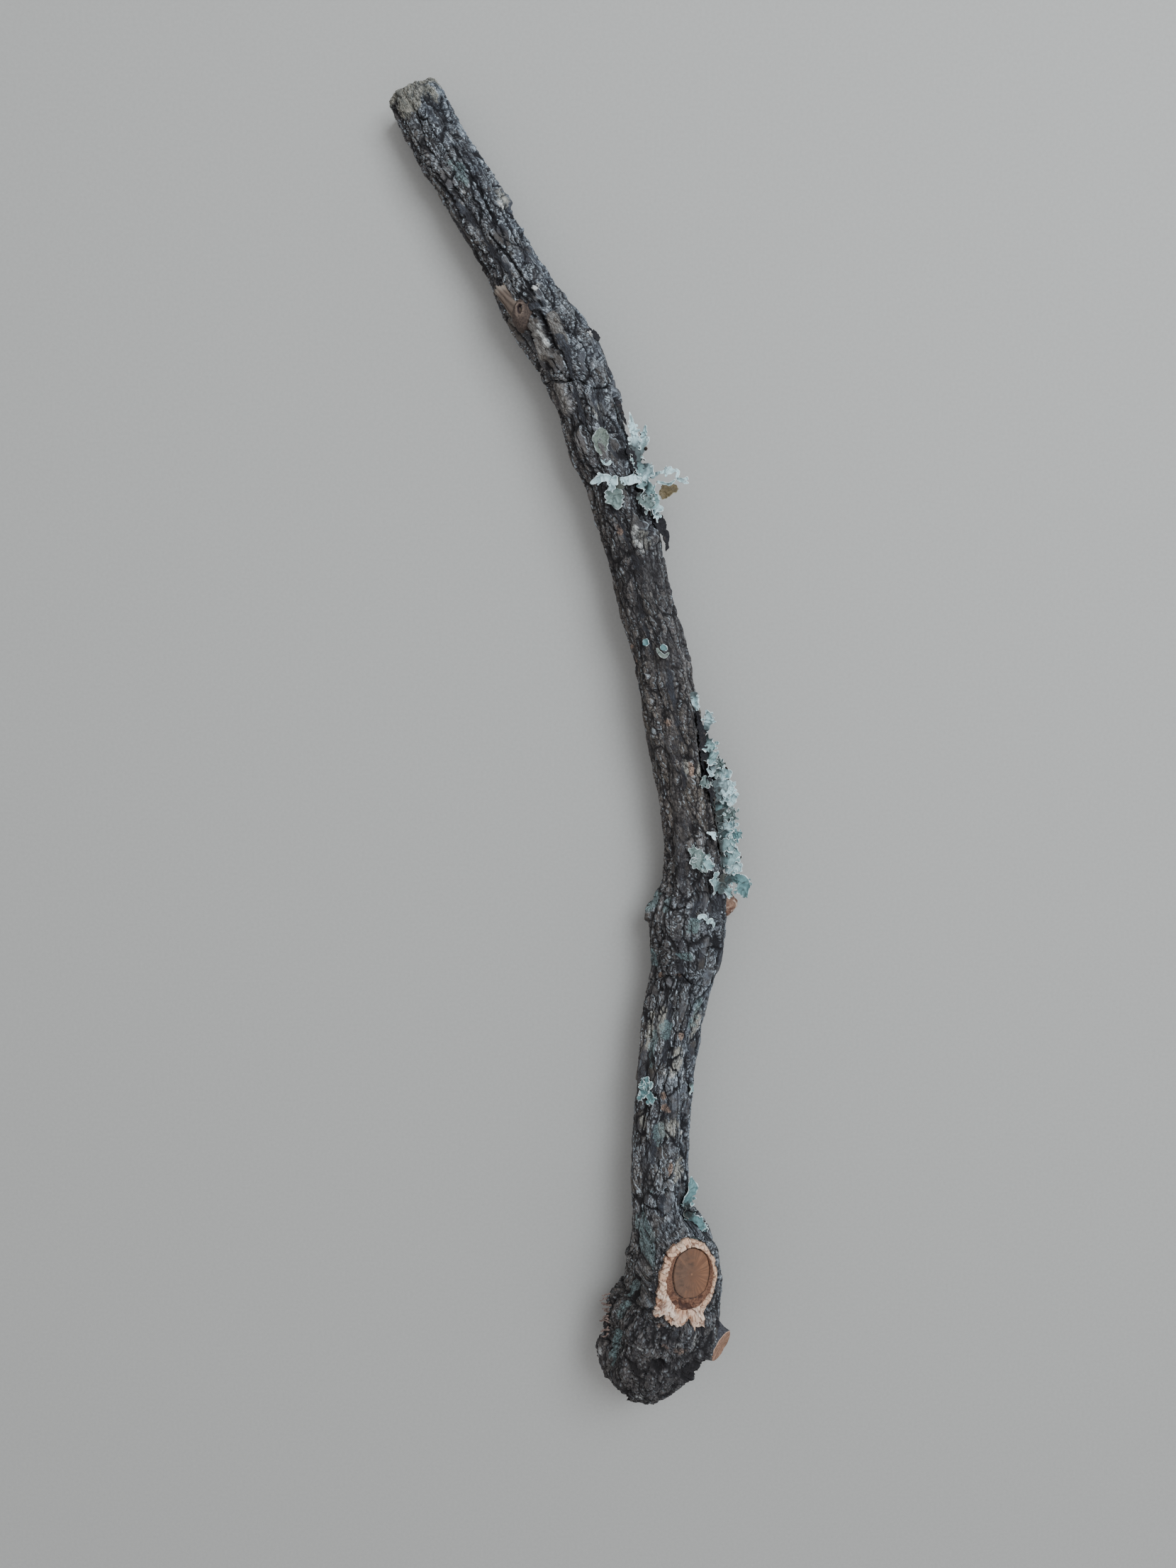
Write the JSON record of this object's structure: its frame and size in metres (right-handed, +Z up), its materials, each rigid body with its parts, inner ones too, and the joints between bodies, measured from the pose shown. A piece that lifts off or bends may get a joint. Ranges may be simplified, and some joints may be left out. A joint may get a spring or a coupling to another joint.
{
  "type": "lichen_on_twig",
  "caption": "Cut branch end with a swollen foot, a round branch scar and leafy grey-green lichens along its front and right side; lies on a table as a natural specimen.",
  "frame": {"origin": "centre of the bounding box in X and Y, on the table that the twig lies on", "axes": "+Y along the twig towards its broken top end, +Z up out of the side that the picture shows, +X to the right of that view"},
  "size_m": [0.1336, 0.4985, 0.0412],
  "materials": {
    "bark": "rough, dry and fissured",
    "lichen": "matt, dry and leafy"
  },
  "bodies": {
    "root": {"twig": "bark", "lichen_oval_leaf": "lichen", "lichen_front_folds": "lichen", "lichen_upper_cluster": "lichen", "lichen_mid_speck": "lichen", "lichen_mid_rosette": "lichen", "lichen_edge_chip": "lichen", "lichen_long_colony": "lichen", "lichen_front_rosette": "lichen", "lichen_broad_lobe": "lichen", "lichen_node_curls": "lichen", "lichen_edge_bit": "lichen", "lichen_left_rosette": "lichen", "lichen_right_leaf": "lichen"}
  },
  "joints": []
}
